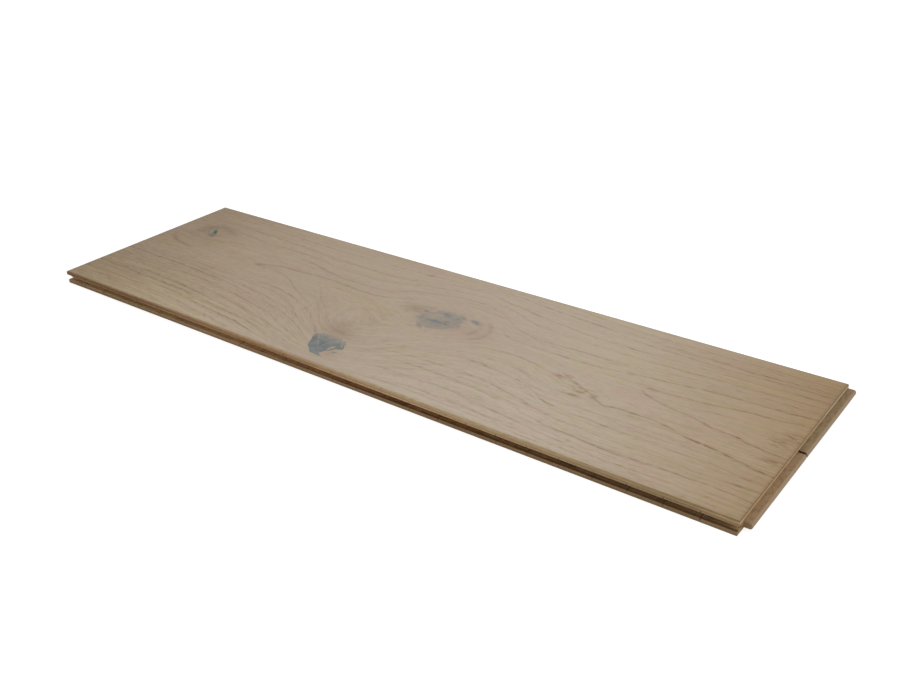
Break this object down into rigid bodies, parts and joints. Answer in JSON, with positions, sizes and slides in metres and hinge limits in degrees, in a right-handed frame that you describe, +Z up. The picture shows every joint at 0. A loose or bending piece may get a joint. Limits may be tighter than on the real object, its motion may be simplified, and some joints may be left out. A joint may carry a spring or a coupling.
{
  "type": "engineered floorboard",
  "caption": "Flat three-layer oak floorboard with a crosswise slatted core and a tongue and groove on all four edges, laid side by side and end to end as flooring.",
  "frame": {"origin": "centre of the underside", "axes": "+X along the board from the grooved end to the tongued end, +Y across it from the grooved side to the tongued side, +Z up through the walking face"},
  "size_m": [0.7365, 0.2265, 0.013],
  "materials": {
    "oak_face": "matt lacquered stained oak",
    "core_slat": "sawn",
    "core_end_slat": "milled",
    "backing_veneer": "raw veneer"
  },
  "bodies": {
    "root": {"oak_wear_layer": "oak_face", "backing_veneer": "backing_veneer", "core_slat_01": "core_slat", "core_slat_02": "core_slat", "core_slat_03": "core_slat", "core_slat_04": "core_slat", "core_slat_05": "core_slat", "core_slat_06": "core_slat", "core_slat_07": "core_slat", "core_slat_08": "core_slat", "core_slat_09": "core_slat", "core_slat_10": "core_slat", "core_slat_11": "core_slat", "core_slat_12": "core_slat", "core_slat_13": "core_slat", "core_slat_14": "core_slat", "core_slat_15": "core_slat", "core_slat_16": "core_slat", "core_slat_17": "core_slat", "core_slat_18": "core_slat", "core_slat_19": "core_slat", "core_slat_20": "core_slat", "core_slat_21": "core_slat", "core_slat_22": "core_slat", "core_slat_23": "core_slat", "core_slat_24": "core_slat", "core_slat_25": "core_slat", "core_end_slat_front": "core_end_slat", "core_end_slat_back": "core_end_slat"}
  },
  "joints": []
}
